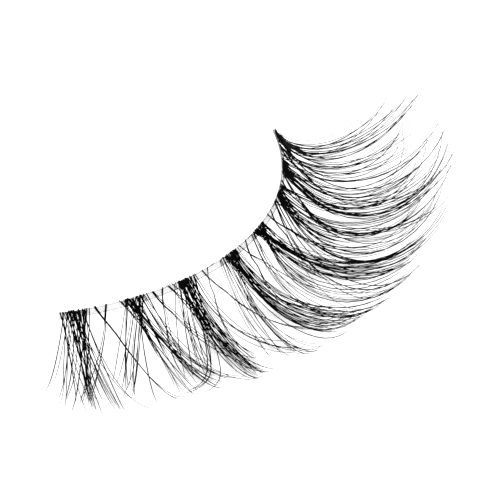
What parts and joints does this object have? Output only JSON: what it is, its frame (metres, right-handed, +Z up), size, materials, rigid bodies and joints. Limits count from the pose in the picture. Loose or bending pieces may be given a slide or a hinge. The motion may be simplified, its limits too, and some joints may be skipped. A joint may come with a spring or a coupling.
{
  "type": "false eyelash strip",
  "caption": "Curved false eyelash strip: a thin clear band with dense clusters of curled black hairs and crossed thin wisps between them, longer towards the outer corner.",
  "frame": {"origin": "middle of the strip's foot, on the floor it rests on", "axes": "+X from the inner corner to the outer corner, -Y the way the lashes point, +Z up out of the curl"},
  "size_m": [0.0462, 0.0178, 0.0039],
  "materials": {
    "clear_band": "clear, slightly milky",
    "lash_hair": "black synthetic hair, soft sheen"
  },
  "bodies": {
    "root": {"band": "clear_band", "lash_cluster_1": "lash_hair", "lash_cluster_2": "lash_hair", "lash_cluster_3": "lash_hair", "lash_cluster_4": "lash_hair", "lash_cluster_5": "lash_hair", "lash_cluster_6": "lash_hair", "lash_cluster_7": "lash_hair", "lash_cluster_8": "lash_hair", "wisp_1_left": "lash_hair", "wisp_1_right": "lash_hair", "wisp_2_left": "lash_hair", "wisp_2_right": "lash_hair", "wisp_3_left": "lash_hair", "wisp_3_right": "lash_hair", "wisp_4_left": "lash_hair", "wisp_4_right": "lash_hair", "wisp_5_left": "lash_hair", "wisp_5_right": "lash_hair", "wisp_6_left": "lash_hair", "wisp_6_right": "lash_hair", "wisp_7_left": "lash_hair", "wisp_7_right": "lash_hair"}
  },
  "joints": []
}
